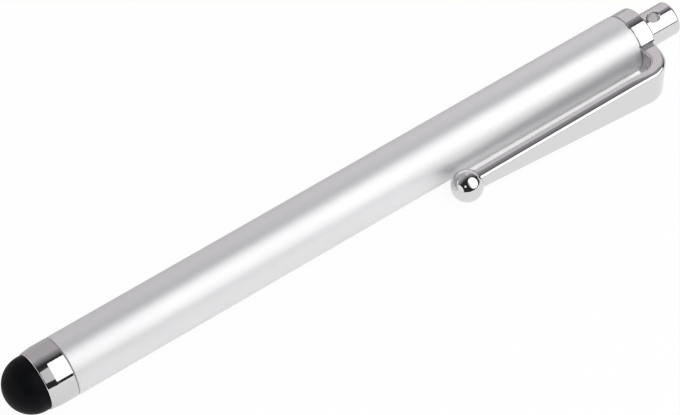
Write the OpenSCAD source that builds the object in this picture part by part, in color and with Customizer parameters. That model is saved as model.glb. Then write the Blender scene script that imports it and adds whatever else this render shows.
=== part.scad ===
// Touch-screen stylus pen: a metal barrel with a soft dome tip, a sprung pocket clip that ends in a ball,
// and a drilled strap post. It lies on its side, held from rolling by the clip's bend. Sizes in millimetres.
//
// The pieces are drawn in the pen's own frame. There the pen's axis is X, the barrel's front rim is at x = 0,
// the tip is towards -X, the clip is towards -Y, and the clip flexes about Z. laid() then puts the pen down.

/* [Barrel] */
// Outside diameter of the barrel
barrel_d = 8.7; // [8.2:0.1:10]
// Length of the barrel tube
barrel_len = 93.9; // [85:0.1:115]
// Wall of the barrel tube
barrel_wall = 0.6; // [0.4:0.05:0.8]
// Bevel on the outer edge of both barrel rims
rim_bevel = 0.15; // [0.05:0.05:0.3]

/* [Ferrule] */
// Outside diameter of the ferrule
ferrule_d = 8.7; // [8.4:0.05:8.8]
// Length of the ferrule's straight band
band_len = 2.6; // [1.8:0.1:4]
// Length of the ferrule's taper in front of the band
taper_len = 1.55; // [0.8:0.05:2.5]
// Diameter at the front of the taper
taper_d = 8.3; // [8.1:0.05:8.5]
// Bevel round the ferrule's front edge
lip_bevel = 0.1; // [0.05:0.05:0.2]
// Thickness of the ferrule's front wall, which the tip's neck goes through
lip_thick = 0.9; // [0.6:0.1:1.3]
// Length of the ferrule's threaded spigot
spigot_len = 6; // [4:0.5:8]
// Wall of the ferrule's spigot
spigot_wall = 0.6; // [0.4:0.05:0.7]

/* [Front bush] */
// Length of the threaded bush inside the barrel
bush_len = 8; // [6:0.5:12]
// Wall of the bush
bush_wall = 0.6; // [0.4:0.05:0.7]
// How far the bush sits inside the barrel's front rim
bush_depth = 0.5; // [0.2:0.1:1.5]

/* [Soft tip] */
// Diameter of the dome
dome_d = 8.05; // [7.8:0.05:8.15]
// Straight stretch between the ferrule and the round of the dome
dome_straight = 0.5; // [0.2:0.1:1]
// Wall of the hollow dome
dome_wall = 0.9; // [0.6:0.1:1.2]
// Thickness of the dome's floor, which seats on the ferrule
dome_floor = 0.7; // [0.4:0.1:1]
// Wall of the neck that goes through the ferrule
neck_wall = 0.7; // [0.5:0.05:0.8]
// Step from the neck out to the flange that holds the tip in
flange_step = 0.65; // [0.4:0.05:0.7]
// Thickness of the flange
flange_len = 1; // [0.7:0.1:1.5]
// Length of the plug's head, pressed in behind the flange
plug_len = 2.5; // [1.5:0.1:3]
// How far the plug's stem reaches past the dome's floor
stem_proud = 0.3; // [0.1:0.05:0.4]

/* [Cap] */
// Outside diameter of the cap
cap_d = 8.6; // [8.2:0.05:8.7]
// Length of the cap behind the barrel
cap_len = 2.9; // [2.6:0.1:4]
// Rounding of the cap's rear edge
cap_edge_r = 0.35; // [0.1:0.05:0.6]
// Width of the groove between the barrel and the cap
seam_w = 0.25; // [0.1:0.05:0.4]
// Depth of the groove between the barrel and the cap
seam_depth = 0.2; // [0.1:0.05:0.3]
// Length of the cap's spigot inside the barrel
cap_spigot_len = 6; // [4:0.5:10]
// Wall of the cap's spigot
cap_wall = 0.85; // [0.6:0.05:1]

/* [Clip] */
// Thickness of the clip's arm, along the pen
arm_thick = 2.2; // [1.9:0.05:2.35]
// Width of the arm where it leaves the cap
root_w = 5; // [4.2:0.1:5.4]
// Width of the clip at its bend
bend_w = 6.1; // [5.6:0.1:7]
// Width of the strip at the ball
ball_end_w = 2.5; // [2.2:0.1:3.6]
// Thickness of the strip
strip_thick = 1.85; // [1.5:0.05:2]
// Height of the strip's outer face over the barrel, at the arm's rear face
clip_height = 4.85; // [4.65:0.05:6]
// Slope of the strip towards the barrel, in degrees
strip_slope = 1.8; // [1:0.05:2.4]
// Outside radius of the bend
bend_r = 3.9; // [3.2:0.1:4.2]
// Inside radius of the bend
inner_bend_r = 2; // [1.5:0.1:2.1]
// Share of the bend's height at which the clip reaches its full width
wide_share = 0.85; // [0.5:0.05:0.95]
// Distance from the arm's rear face to the middle of the ball
clip_reach = 35.15; // [28:0.05:42]
// Diameter of the ball
ball_d = 4.6; // [4:0.1:5]
// How far the ball's middle sits outside the middle of the strip's thickness
ball_out = 0.075; // [0:0.025:0.3]
// Distance from the cap's surface out to the line that the clip flexes about
flex_out = 0.4; // [0.3:0.05:0.6]

/* [Strap post] */
// Diameter of the post
post_d = 5.05; // [4:0.05:5.6]
// Length of the post behind the cap
post_len = 5.6; // [4.5:0.1:8]
// Rounding of the post's end
post_edge_r = 0.5; // [0.2:0.05:0.8]
// Diameter of the strap hole
strap_hole_d = 1.8; // [1.4:0.1:2]
// Distance from the cap to the middle of the strap hole
strap_hole_x = 2.2; // [1.6:0.1:2.6]
// Turn of the strap hole round the pen from the clip, in degrees
strap_hole_turn = 87; // [60:1:120]
// Bevel round both mouths of the strap hole's cut
strap_hole_bevel = 0.1; // [0.05:0.05:0.3]
// Diameter of the post's threaded shank
shank_d = 3; // [2.4:0.1:3.4]
// Length of shank left showing past the rear bush
shank_proud = 0.4; // [0.2:0.1:1]

/* [Rear bush] */
// Length of the threaded bush that the post's shank screws into
rear_bush_len = 4; // [3:0.5:6]
// Space between the cap's spigot and the rear bush
rear_bush_space = 0.3; // [0.2:0.1:1]

/* [Clearances] */
// Clearance round the soft tip's neck and flange
soft_gap = 0.03; // [0.01:0.01:0.06]
// Running clearance where the clip flexes on its root
flex_gap = 0.03; // [0.02:0.01:0.08]
// Clearance of the clip's root in the cap and round the shank
root_gap = 0.05; // [0.02:0.01:0.1]

/* [Hidden] */
$fn = 96;
// Overrun of every cut past the face that it opens
over = 0.5;
// How far the strip's outer face runs under the bend's round, so that the two cross in one clean line
face_ease = 0.005;

barrel_r = barrel_d / 2;
bore_r = barrel_r - barrel_wall;

// Ferrule, bush and plug, from the barrel's bore inwards
spigot_r = bore_r - bush_wall;
socket_r = spigot_r - spigot_wall;
ferrule_len = band_len + taper_len;
flange_r = socket_r - soft_gap;
neck_r = flange_r - flange_step;
stem_r = neck_r - neck_wall;
flange_front_x = lip_thick + soft_gap - ferrule_len;
plug_front_x = flange_front_x + flange_len + soft_gap;

// Dome
dome_r = dome_d / 2;
dome_base_x = -ferrule_len - soft_gap;
dome_centre_x = dome_base_x - dome_straight;
dome_tip_x = dome_centre_x - dome_r;

// Cap
cap_r = cap_d / 2;
cap_top_x = barrel_len + cap_len;
cap_bore_r = bore_r - cap_wall;
spigot_front_x = barrel_len - cap_spigot_len;

// Clip, as seen along its width: the bend's middle, the strip's slope and the round in the inner corner
arm_front_x = barrel_len;
arm_mid_x = arm_front_x + arm_thick / 2;
arm_rear_x = arm_front_x + arm_thick;
eye_r = cap_bore_r - root_gap;
flex_r = cap_r + flex_out;
knuckle_r = arm_thick / 2;
slope_sin = sin(strip_slope);
slope_cos = cos(strip_slope);
strip_out_r = barrel_r + clip_height;
bend_x = arm_rear_x - bend_r;
bend_mid_r = strip_out_r - (bend_r + bend_r * slope_sin) / slope_cos;
wide_r = bend_mid_r + bend_r * wide_share;
inner_drop = bend_r - strip_thick;
corner_dx = arm_front_x - bend_x;
corner_r = bend_mid_r + (inner_drop + corner_dx * slope_sin) / slope_cos;
round_x = arm_front_x - inner_bend_r;
round_r = bend_mid_r + (inner_drop - inner_bend_r + (corner_dx - inner_bend_r) * slope_sin) / slope_cos;
ball_r = ball_d / 2;
ball_x = arm_rear_x - clip_reach;
ball_axis_r = bend_mid_r + (bend_r - strip_thick / 2 + ball_out - (bend_x - ball_x) * slope_sin) / slope_cos;
strip_len = (bend_x - ball_x) * slope_cos + (ball_axis_r - bend_mid_r) * -slope_sin;

// Strap post
post_r = post_d / 2;
post_end_x = cap_top_x + post_len;
shank_r = shank_d / 2;
hole_x = cap_top_x + strap_hole_x;
strap_hole_r = strap_hole_d / 2;
bush_rear_x = spigot_front_x - rear_bush_space;
bush_front_x = bush_rear_x - rear_bush_len;
shank_front_x = bush_front_x - shank_proud;

// How the pen lies: the barrel and the lower corner of the clip's bend both touch the table
touch_r = bend_mid_r + bend_r;
touch_z = bend_w / 2;
touch_far = norm([touch_r, touch_z]);
lie_angle = asin(barrel_r / touch_far) - atan(touch_z / touch_r);
ball_side = ball_axis_r * cos(lie_angle) + ball_r;
bend_side = touch_r * cos(lie_angle) + touch_z * sin(lie_angle);
side_reach = max(ball_side, bend_side);
mid_x = (dome_tip_x + post_end_x) / 2;
mid_y = (barrel_r - side_reach) / 2;

// Puts a piece from the pen's frame onto the table, with the origin at the bottom middle of the whole pen
module laid() {
    translate([-mid_x, -mid_y, barrel_r])
        rotate([lie_angle, 0, 0])
            children();
}

// Turns a profile of [radius, x] points about the pen's axis
module turned() {
    rotate([0, 90, 0])
        rotate_extrude()
            children();
}

// A ring or disc in a turned profile, from one radius to another and from one x to another
module band(r_in, r_out, x_from, x_to) {
    translate([r_in, x_from])
        square([r_out - r_in, x_to - x_from]);
}

// Turns the clip's side view, drawn as [x, distance from the pen's axis], into a slab of the given width
module clip_slab(width) {
    translate([0, 0, -width / 2])
        linear_extrude(width)
            mirror([0, 1])
                children();
}

module barrel() {
    color([0.86, 0.86, 0.87])
        laid()
            turned()
                polygon([
                    [bore_r, 0],
                    [barrel_r - rim_bevel, 0],
                    [barrel_r, rim_bevel],
                    [barrel_r, barrel_len - rim_bevel],
                    [barrel_r - rim_bevel, barrel_len],
                    [bore_r, barrel_len],
                ]);
}

module front_bush() {
    color([0.80, 0.66, 0.36])
        laid()
            turned()
                band(spigot_r, bore_r, bush_depth, bush_depth + bush_len);
}

module ferrule() {
    color([0.78, 0.78, 0.80])
        laid()
            turned()
                difference() {
                    polygon([
                        [neck_r + soft_gap, -ferrule_len],
                        [taper_d / 2 - lip_bevel, -ferrule_len],
                        [taper_d / 2, lip_bevel - ferrule_len],
                        [ferrule_d / 2, -band_len],
                        [ferrule_d / 2, 0],
                        [spigot_r, 0],
                        [spigot_r, spigot_len],
                        [neck_r + soft_gap, spigot_len],
                    ]);
                    band(0, socket_r, lip_thick - ferrule_len, spigot_len + over);
                }
}

module tip_dome() {
    color([0.06, 0.06, 0.07])
        laid()
            turned()
                difference() {
                    union() {
                        intersection() {
                            translate([0, dome_centre_x])
                                circle(dome_r);
                            band(0, dome_r + over, dome_tip_x - over, dome_centre_x);
                        }
                        band(0, dome_r, dome_centre_x, dome_base_x);
                        band(0, neck_r, dome_base_x, flange_front_x + flange_len);
                        band(0, flange_r, flange_front_x, flange_front_x + flange_len);
                    }
                    intersection() {
                        translate([0, dome_centre_x])
                            circle(dome_r - dome_wall);
                        band(-over, dome_r, dome_tip_x, dome_base_x - dome_floor);
                    }
                    band(-over, stem_r + soft_gap, dome_centre_x - dome_floor, over);
                }
}

module tip_plug() {
    color([0.30, 0.30, 0.32])
        laid()
            turned() {
                band(0, stem_r, dome_base_x - dome_floor - stem_proud, plug_front_x + plug_len);
                band(0, socket_r, plug_front_x, plug_front_x + plug_len);
            }
}

module rear_bush() {
    color([0.80, 0.66, 0.36])
        laid()
            turned()
                band(shank_r, bore_r, bush_front_x, bush_rear_x);
}

module cap() {
    color([0.78, 0.78, 0.80])
        laid()
            difference() {
                turned()
                    difference() {
                        union() {
                            band(0, bore_r, spigot_front_x, barrel_len);
                            band(0, cap_r - seam_depth, barrel_len, barrel_len + seam_w);
                            band(0, cap_r, barrel_len + seam_w, cap_top_x - cap_edge_r);
                            band(0, cap_r - cap_edge_r, barrel_len, cap_top_x);
                            translate([cap_r - cap_edge_r, cap_top_x - cap_edge_r])
                                circle(cap_edge_r);
                        }
                        band(-over, cap_bore_r, spigot_front_x - over, arm_rear_x);
                        band(-over, shank_r, barrel_len, cap_top_x + over);
                    }
                // Slot that lets the clip's root in from the front
                translate([spigot_front_x - over, -cap_r - over, -root_w / 2 - root_gap])
                    cube([arm_rear_x - spigot_front_x + over, cap_r + over, root_w + 2 * root_gap]);
            }
}

module clip_root() {
    color([0.74, 0.74, 0.77])
        laid()
            difference() {
                union() {
                    turned()
                        band(0, eye_r, arm_front_x, arm_rear_x);
                    clip_slab(root_w) {
                        translate([arm_front_x, 0])
                            square([arm_thick, flex_r]);
                        // Knuckle that the arm flexes about
                        intersection() {
                            translate([arm_mid_x, flex_r])
                                circle(knuckle_r);
                            translate([arm_front_x, flex_r])
                                square([arm_thick, knuckle_r]);
                        }
                    }
                }
                turned()
                    band(0, shank_r + root_gap, arm_front_x - over, arm_rear_x + over);
            }
}

// The flexing part of the clip seen along its width: arm, bend and sloping strip
module clip_side() {
    difference() {
        union() {
            translate([round_x, flex_r])
                square([arm_rear_x - round_x, bend_mid_r - flex_r]);
            translate([bend_x, bend_mid_r])
                circle(bend_r);
            translate([bend_x, bend_mid_r])
                rotate(strip_slope)
                    translate([-strip_len, 0])
                        square([strip_len, bend_r - face_ease]);
        }
        // The space between the clip and the barrel
        polygon([
            [arm_front_x, flex_r - over],
            [arm_front_x, round_r],
            [round_x, round_r],
            [round_x - inner_bend_r * slope_sin, round_r + inner_bend_r * slope_cos],
            [round_x - inner_bend_r * slope_sin - clip_reach * slope_cos,
             round_r + inner_bend_r * slope_cos - clip_reach * slope_sin],
            [round_x - clip_reach, flex_r - over],
        ]);
        translate([round_x, round_r])
            circle(inner_bend_r);
    }
}

module clip_arm() {
    color([0.78, 0.78, 0.80])
        laid()
            difference() {
                intersection() {
                    clip_slab(bend_w)
                        clip_side();
                    // The strip seen from outside: it narrows towards the ball
                    translate([0, -flex_r, 0])
                        rotate([90, 0, 0])
                            linear_extrude(clip_height + over)
                                polygon([
                                    [ball_x - over, ball_end_w / 2],
                                    [ball_x, ball_end_w / 2],
                                    [bend_x, bend_w / 2],
                                    [arm_rear_x + over, bend_w / 2],
                                    [arm_rear_x + over, -bend_w / 2],
                                    [bend_x, -bend_w / 2],
                                    [ball_x, -ball_end_w / 2],
                                    [ball_x - over, -ball_end_w / 2],
                                ]);
                    // The arm seen from the end: it widens from the cap to the strip
                    translate([ball_x - over, 0, 0])
                        rotate([90, 0, 90])
                            linear_extrude(clip_reach + 2 * over)
                                polygon([
                                    [-flex_r, root_w / 2],
                                    [-wide_r, bend_w / 2],
                                    [-strip_out_r - over, bend_w / 2],
                                    [-strip_out_r - over, -bend_w / 2],
                                    [-wide_r, -bend_w / 2],
                                    [-flex_r, -root_w / 2],
                                ]);
                }
                // Seat round the knuckle
                translate([arm_mid_x, -flex_r, -bend_w])
                    cylinder(h = 2 * bend_w, r = knuckle_r + flex_gap);
                // Seat for the ball
                translate([ball_x, -ball_axis_r, 0])
                    sphere(ball_r);
            }
}

module clip_ball() {
    color([0.80, 0.80, 0.82])
        laid()
            translate([ball_x, -ball_axis_r, 0])
                sphere(ball_r);
}

module strap_post() {
    color([0.78, 0.78, 0.80])
        laid()
            difference() {
                turned() {
                    band(0, shank_r, shank_front_x, cap_top_x);
                    band(0, post_r, cap_top_x, post_end_x - post_edge_r);
                    band(0, post_r - post_edge_r, cap_top_x, post_end_x);
                    intersection() {
                        translate([post_r - post_edge_r, post_end_x - post_edge_r])
                            circle(post_edge_r);
                        band(0, post_r, cap_top_x, post_end_x);
                    }
                }
                // Strap hole
                translate([hole_x, 0, 0])
                    rotate([90 - strap_hole_turn, 0, 0]) {
                        cylinder(h = post_d + 2 * over, r = strap_hole_r, center = true);
                        for (side = [0, 180])
                            rotate([side, 0, 0])
                                translate([0, 0, post_r - strap_hole_bevel])
                                    cylinder(h = 2 * strap_hole_bevel, r1 = strap_hole_r,
                                             r2 = strap_hole_r + 2 * strap_hole_bevel);
                    }
            }
}

barrel();
front_bush();
ferrule();
tip_dome();
tip_plug();
rear_bush();
cap();
clip_root();
clip_arm();
clip_ball();
strap_post();
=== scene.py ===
import math

import bmesh
import bpy
from mathutils import Matrix, Vector


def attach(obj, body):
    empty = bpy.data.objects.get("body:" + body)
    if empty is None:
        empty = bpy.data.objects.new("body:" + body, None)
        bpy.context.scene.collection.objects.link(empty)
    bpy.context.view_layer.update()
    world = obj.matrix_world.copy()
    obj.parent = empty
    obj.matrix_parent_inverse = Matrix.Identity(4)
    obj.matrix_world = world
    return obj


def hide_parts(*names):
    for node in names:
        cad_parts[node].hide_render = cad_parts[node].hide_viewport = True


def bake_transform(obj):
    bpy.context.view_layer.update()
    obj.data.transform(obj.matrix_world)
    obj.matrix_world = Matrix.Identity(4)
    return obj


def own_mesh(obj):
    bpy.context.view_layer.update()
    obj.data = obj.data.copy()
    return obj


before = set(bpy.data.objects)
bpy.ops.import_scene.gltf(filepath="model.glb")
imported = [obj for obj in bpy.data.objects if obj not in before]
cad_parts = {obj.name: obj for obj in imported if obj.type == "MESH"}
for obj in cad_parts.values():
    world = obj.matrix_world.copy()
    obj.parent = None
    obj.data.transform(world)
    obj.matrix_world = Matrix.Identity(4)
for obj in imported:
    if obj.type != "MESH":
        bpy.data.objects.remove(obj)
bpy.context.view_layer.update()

# ---------------------------------------------------------------- sizes, in millimetres
# The pen's own frame: x runs along its axis from the barrel's front rim, the clip is towards -y,
# and z is across the clip.
MM = 0.001
LIE = math.radians(8.44662)             # the roll of the pen, which lies on its barrel and its clip
COS_LIE, SIN_LIE = math.cos(LIE), math.sin(LIE)
MID_X, MID_Y = 46.8475, -2.55818        # the middle of the row's box
GAP = 0.03                              # clearance round the dome's neck and the plug's stem
CRISP, FINE, SMALL, EDGE = 0.02, 0.05, 0.1, 0.15    # radii of rounded edges

# barrel, front bush and ferrule
BARREL_LEN, BARREL_R, BORE_R = 93.9, 4.35, 3.75
BUSH_FROM, BUSH_TO = 0.5, 8.5
FERRULE_LEN, BAND_LEN, FERRULE_R, TAPER_R = 4.15, 2.6, 4.35, 4.15
FERRULE_LIP, FERRULE_BEND, FERRULE_WALL = 0.18, 0.2, 0.9
SEAM_LEN, SEAM_DEPTH = 0.13, 0.25       # the groove between ferrule and barrel
SPIGOT_R, SPIGOT_LEN, SPIGOT_BEVEL, SOCKET_R = 3.15, 6.0, 0.2, 2.55
THREAD_FROM, THREAD_TO, THREAD_DEPTH, THREAD_PITCH = 0.6, SPIGOT_LEN - 0.3, 0.08, 0.5

# dome and plug
DOME_R, DOME_MID, DOME_BASE, DOME_WALL = 4.025, -4.68, -4.18, 0.9
DOME_TIP, DOME_FLOOR = DOME_MID - DOME_R, DOME_BASE - 0.7
DOME_RIM, DOME_PRESS = 0.12, 0.8
NECK_R, NECK_SEAM = 1.87, 0.005
FLANGE_X, FLANGE_R, FLANGE_LEN = -3.22, 2.52, 1
STEM_X, STEM_R = DOME_BASE - 1.0, 1.17
PLUG_X, PLUG_LEN = -2.19, 2.5

# cap and rear bush
CAP_R, CAP_BORE, CAP_EDGE = 4.3, 2.9, 0.35
CAP_TOP, CAP_SPIGOT = BARREL_LEN + 2.9, BARREL_LEN - 6.0
CAP_SEAM_LEN, CAP_SEAM_DEPTH, CAP_SEAM_ROOT, CAP_SEAM_RIM = 0.25, 0.2, 0.04, 0.08
CAP_FACE_INSET = 0.3                    # the round face without its edges
SLOT_GAP, SLOT_OVER = 0.05, 0.5
REAR_FROM, REAR_TO = BARREL_LEN - 10.3, BARREL_LEN - 6.3

# clip
ARM, STRIP = 2.2, 1.85                  # thickness beside the cap and along the barrel
ROOT_W, BEND_W, BALL_W = 5.0, 6.1, 2.5  # width at the cap, at the bend and at the ball
SLOPE = math.radians(1.8)
SIN_S, COS_S = math.sin(SLOPE), math.cos(SLOPE)
OUTER_R = 9.2                           # how far from the axis the strip's outer face would meet the arm's
BEND_R, INNER_R = 3.9, 2.0
BEND_X = BARREL_LEN + ARM - BEND_R
BEND_MID = OUTER_R - (BEND_R + BEND_R * SIN_S) / COS_S
WIDE_R = BEND_MID + 0.85 * BEND_R       # where the bend reaches its full width
CROWN, INNER_EDGE = 0.10, 0.22
OUTER_EDGE, OUTER_EDGE_MORE, OUTER_EDGE_RUN = 0.2, 0.24, 1.5
FLAT_INSET = 0.04
ARM_STATIONS = (2.88, 3.4, 3.8, 4.1, 4.28, CAP_R, 4.32, 4.45, 4.6, 4.75, 4.9)
BEND_STEPS, STRIP_STEPS = 40, 40
INNER_STEPS, SIDE_STEPS, OUTER_STEPS = 6, 10, 14
EYE_GAP, EYE_RIM = 0.05, 0.08
BALL_R, BALL_X, BALL_Y = 2.3, BARREL_LEN + ARM - 35.15, 7.24495

# strap post
POST_R, POST_END, POST_EDGE, POST_FACE_INSET = 2.525, BARREL_LEN + 8.5, 0.5, 0.4
SHANK_R, SHANK_X, SHANK_EDGE = 1.5, REAR_FROM - 0.4, 0.2
HOLE_X, HOLE_R, HOLE_TURN = BARREL_LEN + 5.1, 0.9, math.radians(87)
HOLE_STRAIGHT, HOLE_FLARE, HOLE_SIDES = 2.35, 1.0, 96

# how finely the pieces are drawn
ROUND_BEST, ROUND_GOOD, ROUND_PLAIN, ROUND_HIDDEN = 256, 192, 128, 96
DOME_STEPS, HOLLOW_STEPS = 40, 24
SHARP = math.radians(32)


def place(x, y, z):
    """A point of the pen's frame, in millimetres, as a point of the row frame, in metres."""
    return Vector((x - MID_X, y * COS_LIE - z * SIN_LIE - MID_Y, y * SIN_LIE + z * COS_LIE + BARREL_R)) * MM


def pen_frame(p):
    """A point of the row frame as a point of the pen's frame."""
    x, y, z = p.x / MM + MID_X, p.y / MM + MID_Y, p.z / MM - BARREL_R
    return x, y * COS_LIE + z * SIN_LIE, -y * SIN_LIE + z * COS_LIE


def turn_normal(y, z):
    """The row frame's direction from the pen's axis to a place beside it."""
    return Vector((0, y * COS_LIE - z * SIN_LIE, y * SIN_LIE + z * COS_LIE)).normalized()


def clamp(value):
    return max(0, min(1, value))


# ---------------------------------------------------------------- mesh helpers
def rounded(points, steps=6, hold=0.03, closed=True):
    """Rounds the corners of an outline, whose points are (a, b) or (a, b, radius).

    Straight runs get a point near each end, which keeps their shading flat."""
    n = len(points)
    groups = []
    for i, p in enumerate(points):
        here = Vector(p[:2])
        radius = p[2] if len(p) > 2 else 0
        last, following = Vector(points[i - 1][:2]), Vector(points[(i + 1) % n][:2])
        if radius <= 0 or (not closed and i in (0, n - 1)):
            groups.append([here])
            continue
        u, v = (last - here).normalized(), (following - here).normalized()
        half = math.acos(max(-1, min(1, u.dot(v)))) / 2
        reach = min(radius / math.tan(half), 0.49 * (last - here).length, 0.49 * (following - here).length)
        a, b = here + u * reach, here + v * reach
        centre = here + (u + v).normalized() * (reach * math.tan(half) / math.sin(half))
        start, end = a - centre, b - centre
        turn = start.angle_signed(end)
        arc = []
        for k in range(steps + 1):
            c, s = math.cos(-turn * k / steps), math.sin(-turn * k / steps)
            arc.append(centre + Vector((start.x * c - start.y * s, start.x * s + start.y * c)))
        groups.append(arc)
    flat = []
    for i, group in enumerate(groups):
        flat += group
        if not closed and i == n - 1:
            break
        a, b = group[-1], groups[(i + 1) % n][0]
        length = (b - a).length
        if length > 5 * hold:
            flat += [a.lerp(b, hold / length), a.lerp(b, 1 - hold / length)]
    return flat


def shade(mesh):
    for p in mesh.polygons:
        p.use_smooth = True
    mesh.set_sharp_from_angle(angle=SHARP)


def finish_mesh(name, bm, slot=None):
    """Makes an object of the bmesh, in the slot's material. A cutting tool has no slot."""
    bmesh.ops.remove_doubles(bm, verts=bm.verts, dist=1e-8)
    bmesh.ops.recalc_face_normals(bm, faces=bm.faces)
    mesh = bpy.data.meshes.new(name)
    bm.to_mesh(mesh)
    bm.free()
    shade(mesh)
    obj = bpy.data.objects.new(name, mesh)
    bpy.context.scene.collection.objects.link(obj)
    if slot:
        mesh.materials.append(MATERIALS[slot])
    return obj


def bridge(bm, rings, ends=False):
    """Joins each ring of points to the next with faces. A ring of one point is a pole."""
    for one, two in zip(rings, rings[1:]):
        count = max(len(one), len(two))
        for k in range(count if count > 1 else 0):
            j = (k + 1) % count
            if len(one) == 1:
                bm.faces.new((one[0], two[k], two[j]))
            elif len(two) == 1:
                bm.faces.new((one[k], one[j], two[0]))
            else:
                bm.faces.new((one[k], one[j], two[j], two[k]))
    if ends:
        bm.faces.new(rings[0])
        bm.faces.new(rings[-1])


def lathe(name, profile, slot, segments, closed=True):
    """Turns a profile of (x, radius) about the pen's axis. A radius of 0 is one point."""
    bm = bmesh.new()
    rings = []
    for x, r in profile:
        if r < 1e-6:
            rings.append([bm.verts.new(place(x, 0, 0))])
        else:
            rings.append([bm.verts.new(place(x, -r * math.cos(a), r * math.sin(a)))
                          for a in (2 * math.pi * k / segments for k in range(segments))])
    bridge(bm, rings + rings[:1] if closed else rings)
    return finish_mesh(name, bm, slot)


def cut(obj, tool):
    """Takes the tool's solid out of the object's."""
    mod = obj.modifiers.new("cut", "BOOLEAN")
    mod.operation, mod.solver, mod.object = "DIFFERENCE", "EXACT", tool
    bpy.context.view_layer.update()
    done = bpy.data.meshes.new_from_object(obj.evaluated_get(bpy.context.evaluated_depsgraph_get()))
    obj.modifiers.clear()
    obj.data = done
    bpy.data.objects.remove(tool)
    shade(done)


def thread(x_from, x_to, r, depth, pitch):
    """Points of a fine thread's outline along a straight run, as a row of shallow grooves."""
    count = int(abs(x_to - x_from) / pitch)
    step = (x_to - x_from) / count
    points = []
    for k in range(count):
        points += [(x_from + step * k, r), (x_from + step * (k + 0.5), r - depth)]
    return points + [(x_to, r)]


def true_normals(obj, radius, x_from, x_to, off=0.004, spare=1e-3):
    """Sets exact normals on the round face of a cut piece, so that its reflections stay straight."""
    mesh = obj.data
    normals = [Vector(n.vector) for n in mesh.corner_normals]
    for p in mesh.polygons:
        places = [pen_frame(mesh.vertices[v].co) for v in p.vertices]
        on_face = all(abs(math.hypot(y, z) - radius) < off and x_from - spare <= x <= x_to + spare
                      for x, y, z in places)
        middle = pen_frame(p.center)
        if on_face and abs(p.normal.dot(turn_normal(middle[1], middle[2]))) > 0.9:
            for loop, (x, y, z) in zip(p.loop_indices, places):
                normals[loop] = turn_normal(y, z)
    mesh.normals_split_custom_set(normals)


# ---------------------------------------------------------------- node helpers
def add_node(tree, kind, **values):
    """A new node with values on its sockets, whose names have _ for a space."""
    node = tree.nodes.new(kind)
    for key, value in values.items():
        node.inputs[key.replace("_", " ")].default_value = value
    return node


def math_node(tree, operation, a, b):
    node = tree.nodes.new("ShaderNodeMath")
    node.operation = operation
    tree.links.new(a, node.inputs[0])
    tree.links.new(b, node.inputs[1])
    return node.outputs[0]


def run(tree, source, start, end, low, high, ease="SMOOTHSTEP"):
    """A value that runs from low to high while the source goes from start to end."""
    node = add_node(tree, "ShaderNodeMapRange", From_Min=start, From_Max=end, To_Min=low, To_Max=high)
    node.interpolation_type = ease
    tree.links.new(source, node.inputs["Value"])
    return node.outputs["Result"]


def noise(tree, coords, scale, detail, stretch=None):
    if stretch:
        mapping = add_node(tree, "ShaderNodeMapping", Scale=stretch)
        tree.links.new(coords, mapping.inputs["Vector"])
        coords = mapping.outputs["Vector"]
    node = add_node(tree, "ShaderNodeTexNoise", Scale=scale, Detail=detail)
    tree.links.new(coords, node.inputs["Vector"])
    return node.outputs["Fac"]


def mix_shaders(tree, share, first, second, output):
    """Shows the second shader by its share and the first by the rest."""
    mix, out = tree.nodes.new("ShaderNodeMixShader"), tree.nodes.new(output)
    for i, source in enumerate((share, first.outputs[0], second.outputs[0])):
        tree.links.new(source, mix.inputs[i])
    tree.links.new(mix.outputs[0], out.inputs["Surface"])


def empty_material(name):
    m = bpy.data.materials.new(name)
    m.use_nodes = True
    m.node_tree.nodes.clear()
    return m, m.node_tree


# ---------------------------------------------------------------- materials
def surface(name, base, metallic, roughness, cloud, low, high, grain, strength, depth, specular=None):
    """A surface whose roughness goes between low and high with one noise, and whose grain is another.

    cloud and grain are the scale, the detail and, where it is stretched, the stretch of a noise."""
    m = bpy.data.materials.new(name)
    m.use_nodes = True
    tree = m.node_tree
    shader = tree.nodes["Principled BSDF"]
    shader.inputs["Base Color"].default_value = (*base, 1)
    shader.inputs["Metallic"].default_value = metallic
    shader.inputs["Roughness"].default_value = roughness
    if specular is not None:
        shader.inputs["Specular IOR Level"].default_value = specular
    coords = tree.nodes.new("ShaderNodeTexCoord").outputs["Object"]
    spread = run(tree, noise(tree, coords, *cloud), 0.3, 0.7, low, high, "LINEAR")
    tree.links.new(spread, shader.inputs["Roughness"])
    bump = add_node(tree, "ShaderNodeBump", Strength=strength, Distance=depth)
    tree.links.new(noise(tree, coords, *grain), bump.inputs["Height"])
    tree.links.new(bump.outputs["Normal"], shader.inputs["Normal"])
    return m


MATERIALS = {
    "bright_plate": surface("bright_plate", (0.72, 0.71, 0.72), 1.0, 0.05,
                            (420, 4, (1, 0.35, 0.35)), 0.035, 0.085, (260, 2), 0.02, 0.00002),
    "satin_barrel": surface("satin_barrel", (0.82, 0.82, 0.83), 0.82, 0.48,
                            (90, 3, (0.4, 1, 1)), 0.45, 0.51, (9000, 2), 0.10, 0.00001),
    "soft_tip": surface("soft_tip", (0.0022, 0.0025, 0.0035), 0.0, 0.48,
                        (700, 4), 0.42, 0.54, (5200, 3), 0.12, 0.00002, specular=0.08),
    "brass_bush": surface("brass_bush", (0.75, 0.58, 0.28), 1.0, 0.28,
                          (2500, 2, (6, 1, 1)), 0.22, 0.34, (2500, 2, (6, 1, 1)), 0.1, 0.00001),
    "moulded_plug": surface("moulded_plug", (0.10, 0.10, 0.11), 0.0, 0.55,
                            (900, 3), 0.48, 0.62, (4000, 2), 0.1, 0.00001),
}

# ---------------------------------------------------------------- barrel, front bush and ferrule
barrel = lathe("barrel_tube", rounded([
    (0, BORE_R, FINE), (0, BARREL_R, EDGE), (BARREL_LEN, BARREL_R, EDGE), (BARREL_LEN, BORE_R, FINE)],
    steps=5), "satin_barrel", ROUND_BEST)
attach(barrel, "pen")
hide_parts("barrel")

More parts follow.
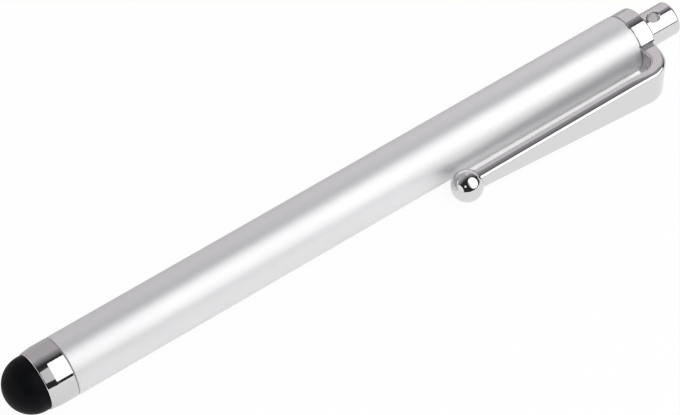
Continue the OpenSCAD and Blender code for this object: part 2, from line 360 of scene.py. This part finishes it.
front_bush = lathe("front_bush_brass", rounded([
    (BUSH_FROM, SPIGOT_R, SMALL), (BUSH_FROM, BORE_R, EDGE),
    (BUSH_TO, BORE_R, EDGE), (BUSH_TO, SPIGOT_R, SMALL)]),
    "brass_bush", ROUND_PLAIN)
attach(front_bush, "pen")
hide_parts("front_bush")

ferrule = lathe("ferrule_plated", rounded([
    (-FERRULE_LEN, NECK_R + GAP, SMALL),
    (-FERRULE_LEN, TAPER_R, FERRULE_LIP),
    (-BAND_LEN, FERRULE_R, FERRULE_BEND),
    (-SEAM_LEN, FERRULE_R, FINE),
    (-SEAM_LEN, FERRULE_R - SEAM_DEPTH, CRISP),
    (0, FERRULE_R - SEAM_DEPTH, CRISP),
    (0, SPIGOT_R, CRISP),
    *thread(THREAD_FROM, THREAD_TO, SPIGOT_R, THREAD_DEPTH, THREAD_PITCH),
    (SPIGOT_LEN, SPIGOT_R - SPIGOT_BEVEL, FINE),
    (SPIGOT_LEN, SOCKET_R, FINE),
    (-FERRULE_LEN + FERRULE_WALL, SOCKET_R, FINE),
    (-FERRULE_LEN + FERRULE_WALL, NECK_R + GAP, SMALL)]), "bright_plate", ROUND_BEST)
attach(ferrule, "pen")
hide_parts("ferrule")

# ---------------------------------------------------------------- dome and plug
outside = [(DOME_TIP, 0)]
for k in range(1, DOME_STEPS):
    a = math.pi / 2 * k / DOME_STEPS
    outside.append((DOME_MID - DOME_R * math.cos(a), DOME_R * math.sin(a)))
hollow = DOME_R - DOME_WALL
floor_r = math.sqrt(hollow ** 2 - (DOME_FLOOR - DOME_MID) ** 2)
base = rounded([
    (DOME_MID, DOME_R), (DOME_BASE, DOME_R, DOME_RIM), (DOME_BASE, STEM_R + GAP, CRISP),
    (DOME_FLOOR, STEM_R + GAP, FINE), (DOME_FLOOR, floor_r)], closed=False)
start = math.acos((DOME_MID - DOME_FLOOR) / hollow)
inside = []
for k in range(1, HOLLOW_STEPS):
    a = start * (1 - k / HOLLOW_STEPS)
    inside.append((DOME_MID - hollow * math.cos(a), hollow * math.sin(a)))
inside.append((DOME_MID - hollow, 0))
dome = lathe("tip_dome_silicone", outside + [tuple(p) for p in base] + inside,
             "soft_tip", ROUND_GOOD, closed=False)
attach(dome, "tip")
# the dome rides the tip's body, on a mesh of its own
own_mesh(dome)
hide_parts("tip_dome")

# the dome's neck and flange stay in the ferrule when the dome flattens
neck = lathe("tip_neck_silicone", rounded([
    (DOME_BASE + NECK_SEAM, STEM_R + GAP), (DOME_BASE + NECK_SEAM, NECK_R), (FLANGE_X, NECK_R, FINE),
    (FLANGE_X, FLANGE_R, DOME_RIM), (FLANGE_X + FLANGE_LEN, FLANGE_R, DOME_RIM),
    (FLANGE_X + FLANGE_LEN, STEM_R + GAP, FINE)]), "soft_tip", ROUND_HIDDEN)
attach(neck, "pen")

plug = lathe("tip_plug_moulded", rounded([
    (STEM_X, 0), (STEM_X, STEM_R, EDGE), (PLUG_X, STEM_R, FINE), (PLUG_X, SOCKET_R, SMALL),
    (PLUG_X + PLUG_LEN, SOCKET_R, EDGE), (PLUG_X + PLUG_LEN, 0)], closed=False),
    "moulded_plug", ROUND_HIDDEN, closed=False)
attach(plug, "pen")
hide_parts("tip_plug")

# ---------------------------------------------------------------- rear bush and cap
rear_bush = lathe("rear_bush_brass", rounded([
    (REAR_FROM, SHANK_R, EDGE), (REAR_FROM, BORE_R, EDGE),
    (REAR_TO, BORE_R, EDGE), (REAR_TO, SHANK_R, EDGE)]),
    "brass_bush", ROUND_PLAIN)
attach(rear_bush, "pen")
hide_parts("rear_bush")

cap = lathe("cap_plated", rounded([
    (CAP_SPIGOT, CAP_BORE, SMALL),
    (CAP_SPIGOT, BORE_R, EDGE),
    (BARREL_LEN, BORE_R, CRISP),
    (BARREL_LEN, CAP_R - CAP_SEAM_DEPTH, CRISP),
    (BARREL_LEN + CAP_SEAM_LEN, CAP_R - CAP_SEAM_DEPTH, CAP_SEAM_ROOT),
    (BARREL_LEN + CAP_SEAM_LEN, CAP_R, CAP_SEAM_RIM),
    (CAP_TOP, CAP_R, CAP_EDGE),
    (CAP_TOP, SHANK_R, CRISP),
    (BARREL_LEN + ARM, SHANK_R, CRISP),
    (BARREL_LEN + ARM, CAP_BORE, FINE)], steps=8), "bright_plate", ROUND_BEST)
bm = bmesh.new()
half = ROOT_W / 2 + SLOT_GAP
corners = [bm.verts.new(place(x, y, z)) for x in (CAP_SPIGOT - SLOT_OVER, BARREL_LEN + ARM)
           for y in (-CAP_R - SLOT_OVER, 0) for z in (-half, half)]
for face in ((0, 1, 3, 2), (4, 6, 7, 5), (0, 4, 5, 1), (2, 3, 7, 6), (0, 2, 6, 4), (1, 5, 7, 3)):
    bm.faces.new([corners[i] for i in face])
cut(cap, finish_mesh("slot_tool", bm))
true_normals(cap, CAP_R, BARREL_LEN + CAP_FACE_INSET, CAP_TOP - CAP_FACE_INSET)
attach(cap, "pen")
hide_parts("cap")


# ---------------------------------------------------------------- clip: one bent bar from the cap to the ball
def clip_width(x, r):
    """Half width of the clip at a place of its side view."""
    by_r = ROOT_W / 2 + (BEND_W - ROOT_W) / 2 * clamp((r - CAP_R) / (WIDE_R - CAP_R))
    by_x = BALL_W / 2 + (BEND_W - BALL_W) / 2 * clamp((x - BALL_X) / (BEND_X - BALL_X))
    return min(by_r, by_x)


def bar_section(thick, w_in, w_out, outer_edge):
    """The bar's section as (place through, place across), with crowned sides and round edges."""
    quarter = math.pi / 2
    places = [INNER_EDGE * (1 - math.cos(quarter * k / INNER_STEPS)) for k in range(INNER_STEPS)]
    places += [INNER_EDGE + (thick - INNER_EDGE - outer_edge) * k / SIDE_STEPS for k in range(SIDE_STEPS)]
    places += [thick - outer_edge + outer_edge * math.sin(quarter * k / OUTER_STEPS)
               for k in range(OUTER_STEPS + 1)]
    side = []
    for s in places:
        w = w_in + (w_out - w_in) * s / thick - CROWN * (2 * s / thick - 1) ** 2
        if s < INNER_EDGE:
            w -= INNER_EDGE - math.sqrt(max(0, INNER_EDGE ** 2 - (INNER_EDGE - s) ** 2))
        if s > thick - outer_edge:
            w -= outer_edge - math.sqrt(max(0, outer_edge ** 2 - (s - thick + outer_edge) ** 2))
        side.append((s, w))
    flat_out, flat_in = side[-1][1] - FLAT_INSET, side[0][1] - FLAT_INSET
    return (side + [(thick, flat_out), (thick, 0), (thick, -flat_out)]
            + [(s, -w) for s, w in reversed(side)] + [(0, -flat_in), (0, 0), (0, flat_in)])


def between(a, b, t):
    return (a[0] + (b[0] - a[0]) * t, a[1] + (b[1] - a[1]) * t)


# each station is a point (x, r) of the inner face and one of the outer face
stations = [((BARREL_LEN, r), (BARREL_LEN + ARM, r)) for r in ARM_STATIONS]
round_x = BARREL_LEN - INNER_R
round_r = BEND_MID + (BEND_R - STRIP - INNER_R + (round_x - BEND_X) * SIN_S) / COS_S
for k in range(BEND_STEPS + 1):
    a = (math.pi / 2 + SLOPE) * k / BEND_STEPS
    stations.append(((round_x + INNER_R * math.cos(a), round_r + INNER_R * math.sin(a)),
                     (BEND_X + BEND_R * math.cos(a), BEND_MID + BEND_R * math.sin(a))))
last_in, last_out = stations[-1]
end_r = BEND_MID + BEND_R * COS_S - (BEND_X - BEND_R * SIN_S - BALL_X) * math.tan(SLOPE)
for k in range(1, STRIP_STEPS + 1):
    t = k / STRIP_STEPS
    stations.append((between(last_in, (BALL_X, end_r - STRIP / COS_S), t),
                     between(last_out, (BALL_X, end_r), t)))
bm = bmesh.new()
rings = []
for inner, outer in stations:
    a, b = Vector(inner), Vector(outer)
    thick = (b - a).length
    edge = OUTER_EDGE + OUTER_EDGE_MORE * clamp((outer[1] - CAP_R) / OUTER_EDGE_RUN)
    ring = []
    for s, z in bar_section(thick, clip_width(*inner), clip_width(*outer), edge):
        p = a.lerp(b, s / thick)
        ring.append(bm.verts.new(place(p.x, -p.y, z)))
    rings.append(ring)
bridge(bm, rings, ends=True)
clip = finish_mesh("clip_bar", bm, "bright_plate")
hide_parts("clip_root", "clip_arm")
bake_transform(clip)

# the clip's eye, which the post's shank goes through
eye_in, eye_out = SHANK_R + EYE_GAP, CAP_BORE - EYE_GAP
eye = lathe("clip_eye", rounded([
    (BARREL_LEN, eye_in, FINE), (BARREL_LEN, eye_out, EYE_RIM),
    (BARREL_LEN + ARM, eye_out, EYE_RIM), (BARREL_LEN + ARM, eye_in, FINE)]), "bright_plate", ROUND_HIDDEN)
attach(eye, "pen")

bm = bmesh.new()
bmesh.ops.create_uvsphere(bm, u_segments=128, v_segments=64, radius=BALL_R * MM)
bmesh.ops.translate(bm, verts=bm.verts, vec=place(BALL_X, -BALL_Y, 0))
ball = finish_mesh("clip_ball_plated", bm, "bright_plate")
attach(ball, "clip")
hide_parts("clip_ball")

# ---------------------------------------------------------------- strap post with its cross hole
post = lathe("strap_post_plated", rounded([
    (SHANK_X, 0), (SHANK_X, SHANK_R, SHANK_EDGE), (CAP_TOP, SHANK_R, CRISP), (CAP_TOP, POST_R, FINE),
    (POST_END, POST_R, POST_EDGE), (POST_END, 0)], steps=10, closed=False),
    "bright_plate", ROUND_BEST, closed=False)
bm = bmesh.new()
along_y, along_z = -math.cos(HOLE_TURN), math.sin(HOLE_TURN)
flared = HOLE_STRAIGHT + HOLE_FLARE
rings = []
for h, r in ((-flared, HOLE_R + HOLE_FLARE), (-HOLE_STRAIGHT, HOLE_R),
             (HOLE_STRAIGHT, HOLE_R), (flared, HOLE_R + HOLE_FLARE)):
    ring = []
    for k in range(HOLE_SIDES):
        a = 2 * math.pi * k / HOLE_SIDES
        across = r * math.sin(a)
        ring.append(bm.verts.new(place(HOLE_X + r * math.cos(a), h * along_y - across * along_z,
                                       h * along_z + across * along_y)))
    rings.append(ring)
bridge(bm, rings, ends=True)
cut(post, finish_mesh("hole_tool", bm))
true_normals(post, POST_R, CAP_TOP, POST_END - POST_FACE_INSET)
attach(post, "pen")
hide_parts("strap_post")

# ---------------------------------------------------------------- studio: floor and cards, in metres
STUDIO = Vector((0.014, -0.004, 0.004))     # the middle of the studio, at the pen
WHITE = (1, 1, 1)


def stage_object(name, verts, faces, material):
    mesh = bpy.data.meshes.new(name)
    mesh.from_pydata(verts, [], faces)
    mesh.materials.append(material)
    obj = bpy.data.objects.new(name, mesh)
    bpy.context.scene.collection.objects.link(obj)
    return obj


def only_reflected(obj):
    """Leaves a card to the reflections alone."""
    obj.visible_camera = obj.visible_diffuse = obj.visible_shadow = False


def glow(name, colour, low, high=None, axis=1, start=0.0, end=1.0, ease="SMOOTHSTEP"):
    """An even glow, or one that runs from low to high between two places of the card."""
    m, tree = empty_material(name)
    light = add_node(tree, "ShaderNodeEmission", Color=(*colour, 1), Strength=low)
    if high is not None:
        split = tree.nodes.new("ShaderNodeSeparateXYZ")
        tree.links.new(tree.nodes.new("ShaderNodeTexCoord").outputs["Object"], split.inputs[0])
        tree.links.new(run(tree, split.outputs[axis], start, end, low, high, ease), light.inputs["Strength"])
    out = tree.nodes.new("ShaderNodeOutputMaterial")
    tree.links.new(light.outputs["Emission"], out.inputs["Surface"])
    return m


def card(name, centre, outline, material, towards=STUDIO):
    """A flat card that faces a point. Its x runs along the pen and its y upwards."""
    obj = stage_object(name, [(x, y, 0) for x, y in outline], [tuple(range(len(outline)))], material)
    centre = Vector(centre)
    away = (centre - Vector(towards)).normalized()
    side = (Vector((1, 0, 0)) - away * away.x).normalized()
    rise = side.cross(away) * -1
    if rise.z < 0 and abs(rise.z) > abs(rise.y) * 0.1:
        rise = rise * -1
    obj.matrix_world = Matrix((side, rise, side.cross(rise))).transposed().to_4x4()
    obj.matrix_world.translation = centre
    only_reflected(obj)


def curved_card(name, radius, thetas, turns, material, rows=24, cols=32):
    """Part of a ball round the pen, between two angles over the top and two sideways, in degrees.

    Its lower edge rises a little towards the cap's end."""
    verts, faces = [], []
    for i in range(rows + 1):
        for j in range(cols + 1):
            turn = turns[0] + (turns[1] - turns[0]) * j / cols
            low = thetas[0] + max(0, min(1.5, (turn + 30) * 0.04))
            a, b = math.radians(low + (thetas[1] - low) * i / rows), math.radians(turn)
            way = Vector((math.sin(b), -math.cos(b) * math.cos(a), math.cos(b) * math.sin(a)))
            verts.append(STUDIO + way * radius)
    for i in range(rows):
        for j in range(cols):
            k = i * (cols + 1) + j
            faces.append((k, k + 1, k + cols + 2, k + cols + 1))
    only_reflected(stage_object(name, verts, faces, material))


def oval(left, right, down, up, count=96):
    """An outline made of four quarter ellipses."""
    points = []
    for k in range(count):
        c, s = math.cos(2 * math.pi * k / count), math.sin(2 * math.pi * k / count)
        points.append((c * (right if c > 0 else left), s * (up if s > 0 else down)))
    return points


def panel(width, height):
    x, y = width / 2, height / 2
    return [(-x, -y), (x, -y), (x, y), (-x, y)]


def between_places(tree, source, places):
    """1 between the two middle places and 0 beyond the two outer ones, with smooth runs."""
    first, second, third, fourth = places
    return math_node(tree, "MULTIPLY", run(tree, source, first, second, 0, 1),
                     run(tree, source, third, fourth, 1, 0))


def floor_material():
    """White paper that lights itself for the camera and keeps a share of its shadow.

    Metal sees it at a share too, and under the gap between barrel and clip both shares are less: a painted
    shade there, which lets more of the floor's own shadow show."""
    m, tree = empty_material("floor_white")
    paper = add_node(tree, "ShaderNodeBsdfDiffuse", Color=(0.86, 0.86, 0.86, 1))
    white = add_node(tree, "ShaderNodeEmission", Color=(*WHITE, 1))
    rays = tree.nodes.new("ShaderNodeLightPath").outputs
    split = tree.nodes.new("ShaderNodeSeparateXYZ")
    tree.links.new(tree.nodes.new("ShaderNodeTexCoord").outputs["Object"], split.inputs[0])
    x, y = split.outputs["X"], split.outputs["Y"]
    # painted shade: the floor lights itself less under the gap between barrel and clip, for the camera and
    # for metal
    gap_shade = math_node(tree, "MULTIPLY", between_places(tree, x, (0.010, 0.020, 0.044, 0.050)),
                    between_places(tree, y, (-0.0045, -0.0010, 0.0016, 0.0052)))
    mirrored = math_node(tree, "MULTIPLY", run(tree, x, -0.06, 0.03, 0.20, 0.80),
                         run(tree, gap_shade, 0.0, 1.0, 1.0, 0.2))
    other = math_node(tree, "MAXIMUM", rays["Is Glossy Ray"], rays["Is Transmission Ray"])
    seen = math_node(tree, "MAXIMUM", rays["Is Camera Ray"], math_node(tree, "MULTIPLY", other, mirrored))
    share = math_node(tree, "MULTIPLY", seen, run(tree, gap_shade, 0.0, 1.0, 0.95, 0.66))
    mix_shaders(tree, share, paper, white, "ShaderNodeOutputMaterial")
    return m


floor = stage_object("floor", [(x, y, 0) for x, y in panel(4, 4)], [(0, 1, 2, 3)], floor_material())

# a round bright box in front, a dark surround, a small spot, and a grey wall and a greyer floor behind
card("front_box", STUDIO + Vector((0.4067, -0.6053, 0.6842)).normalized() * 0.80,
     oval(0.585, 0.57, 0.60, 0.59), glow("front_box", WHITE, 0.5, 1.6, 0, -0.52, -0.25))
curved_card("surround", 1.1, (0.5, 134), (-58, 80),
            glow("surround", (0.97, 0.96, 1.0), 0.03, 0.62, 1, 0.0, 0.72, "LINEAR"))
card("spot", STUDIO + Vector((-0.585, -0.504, 0.636)) * 0.9, oval(0.10, 0.10, 0.12, 0.12, 24),
     glow("spot", WHITE, 1.2))
wall_turn, wall_far = math.radians(143), 0.95
card("back_wall", (0.25, -wall_far * math.cos(wall_turn), wall_far * math.sin(wall_turn)), panel(2.2, 1.5),
     glow("back_wall", (1.0, 0.96, 0.98), 0.49, 0.74, 0, -0.02, 0.16))
card("floor_back", (0, 0.45, 0.0005), panel(2.2, 0.88), glow("floor_back", (1.0, 0.97, 0.99), 0.50),
     towards=(0, 0.45, -1))

# ---------------------------------------------------------------- world and lamp
world = bpy.data.worlds.new("studio")
bpy.context.scene.world = world
world.use_nodes = True
tree = world.node_tree
tree.nodes.clear()
shown = add_node(tree, "ShaderNodeBackground", Color=(*WHITE, 1), Strength=1.0)
fill = add_node(tree, "ShaderNodeBackground", Color=(*WHITE, 1), Strength=0.55)
rays = tree.nodes.new("ShaderNodeLightPath").outputs
seen = math_node(tree, "MAXIMUM", rays["Is Camera Ray"], rays["Is Glossy Ray"])
seen = math_node(tree, "MAXIMUM", seen, rays["Is Transmission Ray"])
mix_shaders(tree, seen, fill, shown, "ShaderNodeOutputWorld")

key_data = bpy.data.lights.new("key", "AREA")
key_data.shape = "RECTANGLE"
key_data.size, key_data.size_y = 0.8, 0.6
key_data.energy = 6.0
key = bpy.data.objects.new("key", key_data)
bpy.context.scene.collection.objects.link(key)
key.location = (0.15, -0.55, 0.75)
key.rotation_euler = (-key.location).to_track_quat("-Z", "Y").to_euler()
key.visible_camera = False
key.visible_glossy = False

# ---------------------------------------------------------------- camera, fitted to the photo
AZIMUTH, ELEVATION, ROLL = math.radians(-29.33), math.radians(46.279), math.radians(-7.792)
DISTANCE, SIDEWAYS, UPWARDS = 418.7, -2.578, 0.188      # millimetres
FOCAL, PICTURE_WIDTH, SENSOR = 3079.0, 680, 36          # pixels, pixels, millimetres
AIM = Vector((46.5 - MID_X, -2.0 - MID_Y, BARREL_R))
back = Vector((math.sin(AZIMUTH) * math.cos(ELEVATION), -math.cos(AZIMUTH) * math.cos(ELEVATION),
               math.sin(ELEVATION)))
right = Vector((math.cos(AZIMUTH), math.sin(AZIMUTH), 0))
up = back.cross(right)
cam_right = right * math.cos(ROLL) + up * math.sin(ROLL)
cam_up = up * math.cos(ROLL) - right * math.sin(ROLL)
camera_data = bpy.data.cameras.new("camera")
camera_data.sensor_fit = "HORIZONTAL"
camera_data.sensor_width = SENSOR
camera_data.lens = FOCAL / PICTURE_WIDTH * SENSOR
camera_data.clip_start = 0.01
camera_data.clip_end = 20
camera = bpy.data.objects.new("camera", camera_data)
bpy.context.scene.collection.objects.link(camera)
camera.matrix_world = Matrix((cam_right, cam_up, back)).transposed().to_4x4()
camera.matrix_world.translation = (AIM + back * DISTANCE + cam_right * SIDEWAYS + cam_up * UPWARDS) * MM
bpy.context.scene.camera = camera
bpy.context.scene.view_settings.view_transform = "Standard"
